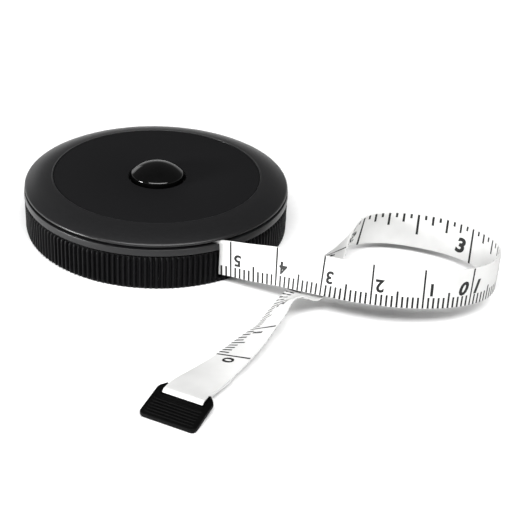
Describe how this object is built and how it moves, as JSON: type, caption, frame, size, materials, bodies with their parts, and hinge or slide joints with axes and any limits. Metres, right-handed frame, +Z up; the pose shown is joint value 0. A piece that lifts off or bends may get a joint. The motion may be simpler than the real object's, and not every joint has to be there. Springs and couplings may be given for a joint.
{
  "type": "retractable round tape measure",
  "caption": "Round black pocket tape measure with a ribbed edge, domed lid and push button, its white tape drawn out in a loose loop to a small black end tab.",
  "frame": {"origin": "centre of the case's flat underside, on the axis of the button and reel", "axes": "+Z up along the reel's axis, out through the push button; +X to the side where the drawn-out tape's loop lies; -Y towards the end tab"},
  "size_m": [0.0977, 0.103, 0.0144],
  "materials": {
    "case_black": "moulded ABS, satin",
    "face_black": "moulded ABS, fine matt texture",
    "button_black": "polished ABS",
    "tab_black": "moulded polypropylene, matt",
    "tape_white": "coated fibreglass tape with black printing",
    "reel_white": "moulded polypropylene",
    "post_white": "moulded acetal",
    "carrier_grey": "moulded acetal",
    "brake_rubber": "moulded rubber",
    "spring_steel": "drawn spring wire",
    "strip_steel": "blued spring strip",
    "cover_card": "punched polyester sheet"
  },
  "bodies": {
    "case": {"bottom_cover": "case_black", "top_cover": "case_black", "face_disc": "face_black", "centre_post": "post_white", "brake_spring": "spring_steel"},
    "push_button": {"button": "button_black", "brake_carrier": "carrier_grey", "brake_pad": "brake_rubber"},
    "reel": {"reel_drum": "reel_white", "reel_flange": "reel_white", "power_spring": "strip_steel", "spring_cover": "cover_card", "tape_winding": "tape_white", "tape_anchor_pin": "post_white"},
    "tape": {"tape_strip": "tape_white", "tape_fold": "tape_white", "end_tab": "tab_black"}
  },
  "joints": [
    {"name": "button_press", "type": "slide", "parent": "case", "child": "push_button", "axis": [0, 0, -1], "range_m": [0, 0.0012], "stiffness_N_per_m": 400, "springref_m": -0.002, "deforming": ["brake_spring"]},
    {"name": "reel_turn", "type": "hinge", "parent": "case", "child": "reel", "pos_m": [0, 0, 0.005], "axis": [0, 0, 1], "range_deg": [0, 41.6]},
    {"name": "tape_pull", "type": "slide", "parent": "case", "child": "tape", "axis": [0.9397, -0.342, 0], "range_m": [0, 0.014]}
  ],
  "couplings": [
    {"joint": "tape_pull", "follows": "reel_turn", "m_per_rad": 0.0191}
  ]
}
